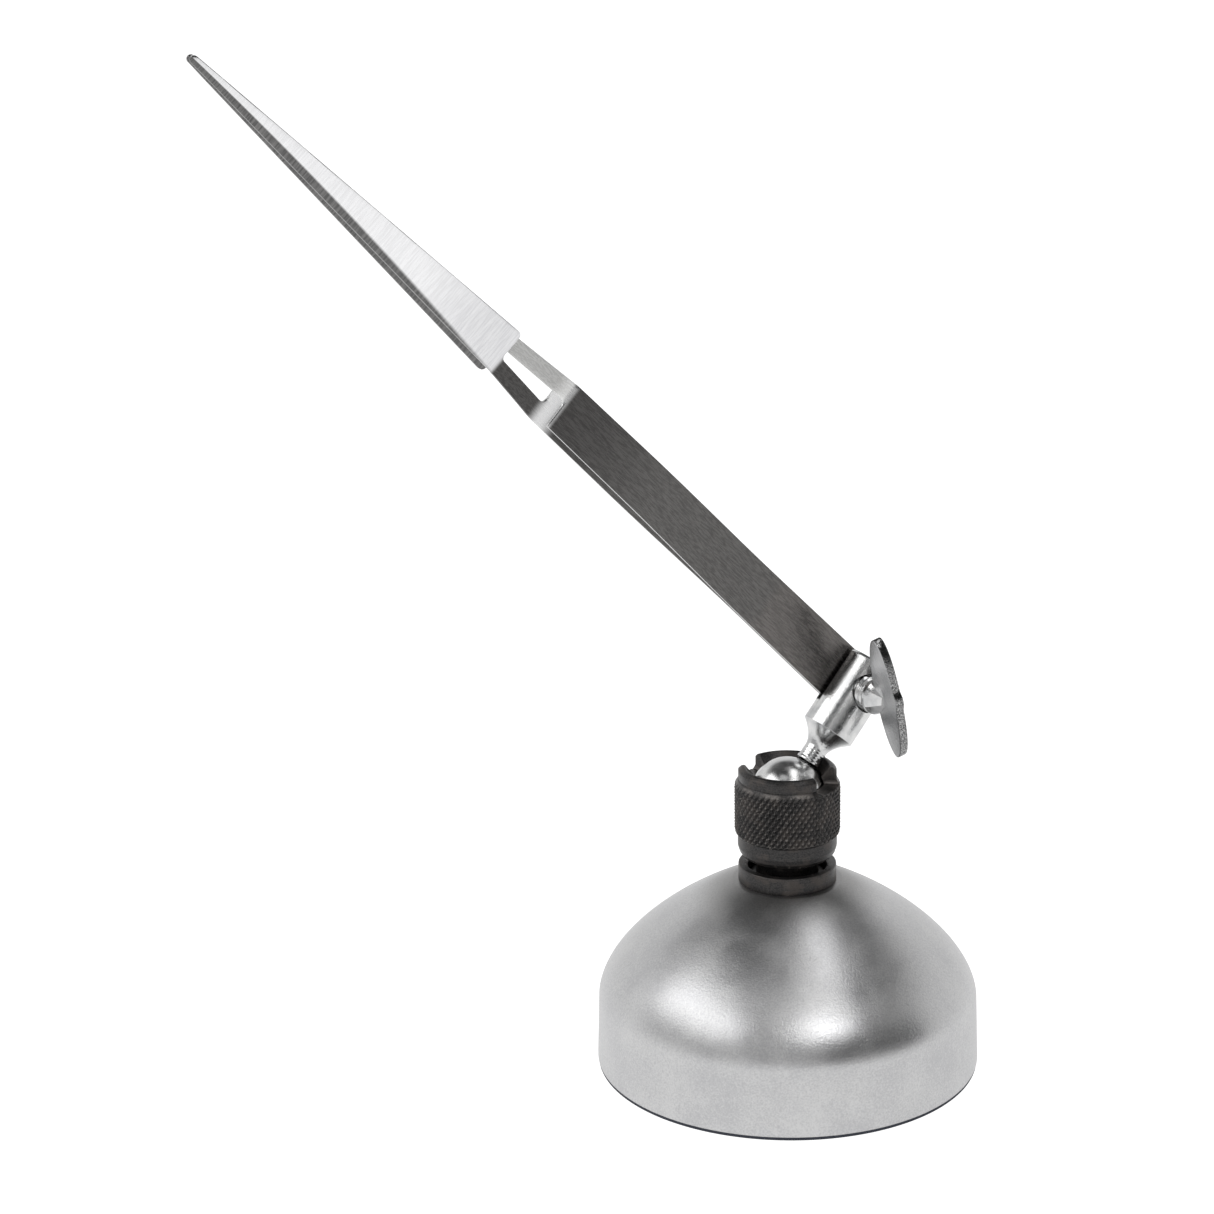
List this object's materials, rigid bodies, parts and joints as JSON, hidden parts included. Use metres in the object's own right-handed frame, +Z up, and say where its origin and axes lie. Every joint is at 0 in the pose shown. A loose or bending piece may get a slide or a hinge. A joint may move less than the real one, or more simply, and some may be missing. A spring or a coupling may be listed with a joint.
{
  "type": "third hand tweezer stand",
  "caption": "Weighted domed base with a lockable ball joint and a wing-screw clamp that holds self-closing cross-lock tweezers.",
  "frame": {"origin": "centre of the underside of the base, on the table", "axes": "+Z up; +X to the right and +Y away from a viewer who sees the tweezers reach up and to the left"},
  "size_m": [0.1145, 0.0849, 0.1751],
  "materials": {
    "satin_nickel": "satin nickel plate, fine grained, soft broad highlights",
    "weight_iron": "as cast",
    "pad": "matt dark pad",
    "black_oxide": "black oxide over turned and knurled steel, worn brown on edges",
    "zinc_plate": "bright zinc plate",
    "seat_nylon": "natural nylon",
    "chrome_plate": "polished plate over turned steel",
    "tweezer_steel": "stainless spring steel, fine brushed grain"
  },
  "bodies": {
    "base": {"base_shell": "satin_nickel", "base_weight": "weight_iron", "base_pad": "pad", "collar_ring": "black_oxide", "socket_post": "black_oxide", "anchor_washer": "zinc_plate", "anchor_nut": "zinc_plate"},
    "lock_nut": {"lock_nut": "black_oxide"},
    "seat": {"ball_seat": "seat_nylon"},
    "ball": {"swivel_ball": "chrome_plate"},
    "stem": {"clamp_body": "chrome_plate"},
    "screw": {"thumb_screw": "chrome_plate", "wing_plate": "chrome_plate"},
    "tweezer_tail": {"tweezer_tail": "tweezer_steel"},
    "blade_front": {"blade_front": "tweezer_steel"},
    "blade_back": {"blade_back": "tweezer_steel"}
  },
  "joints": [
    {"name": "lock_nut_turn", "type": "hinge", "parent": "base", "child": "lock_nut", "pos_m": [0, 0, 0.044], "axis": [0, 0, 1], "range_deg": [0, 180]},
    {"name": "ball_swivel", "type": "hinge", "parent": "base", "child": "seat", "pos_m": [0, 0, 0.047], "axis": [0, 0, 1], "continuous": true},
    {"name": "ball_tilt", "type": "hinge", "parent": "seat", "child": "ball", "pos_m": [0, 0, 0.047], "axis": [-0.5563, 0.831, 0], "range_deg": [-60, 0]},
    {"name": "stem_spin", "type": "hinge", "parent": "ball", "child": "stem", "pos_m": [0, 0, 0.047], "axis": [0.543, 0.3635, 0.757], "range_deg": [-120, 120]},
    {"name": "screw_turn", "type": "hinge", "parent": "stem", "child": "screw", "pos_m": [0.01135, 0.0076, 0.06282], "axis": [0.5563, -0.831, 0], "range_deg": [0, 270]},
    {"name": "tweezer_swing", "type": "hinge", "parent": "stem", "child": "tweezer_tail", "pos_m": [0.0101, 0.00947, 0.06282], "axis": [-0.5563, 0.831, 0], "range_deg": [-5, 120]},
    {"name": "blade_front_squeeze", "type": "hinge", "parent": "tweezer_tail", "child": "blade_front", "pos_m": [-0.00393, 0.00008, 0.07988], "axis": [-0.5907, -0.3954, -0.7034], "range_deg": [0, 1.8], "stiffness_Nm_per_rad": 6, "springref_deg": -1.15},
    {"name": "blade_back_squeeze", "type": "hinge", "parent": "tweezer_tail", "child": "blade_back", "pos_m": [-0.00393, 0.00008, 0.07988], "axis": [-0.5907, -0.3954, -0.7034], "range_deg": [-1.8, 0], "stiffness_Nm_per_rad": 6, "springref_deg": 1.15}
  ],
  "couplings": [
    {"joint": "blade_back_squeeze", "follows": "blade_front_squeeze", "ratio": -1}
  ]
}
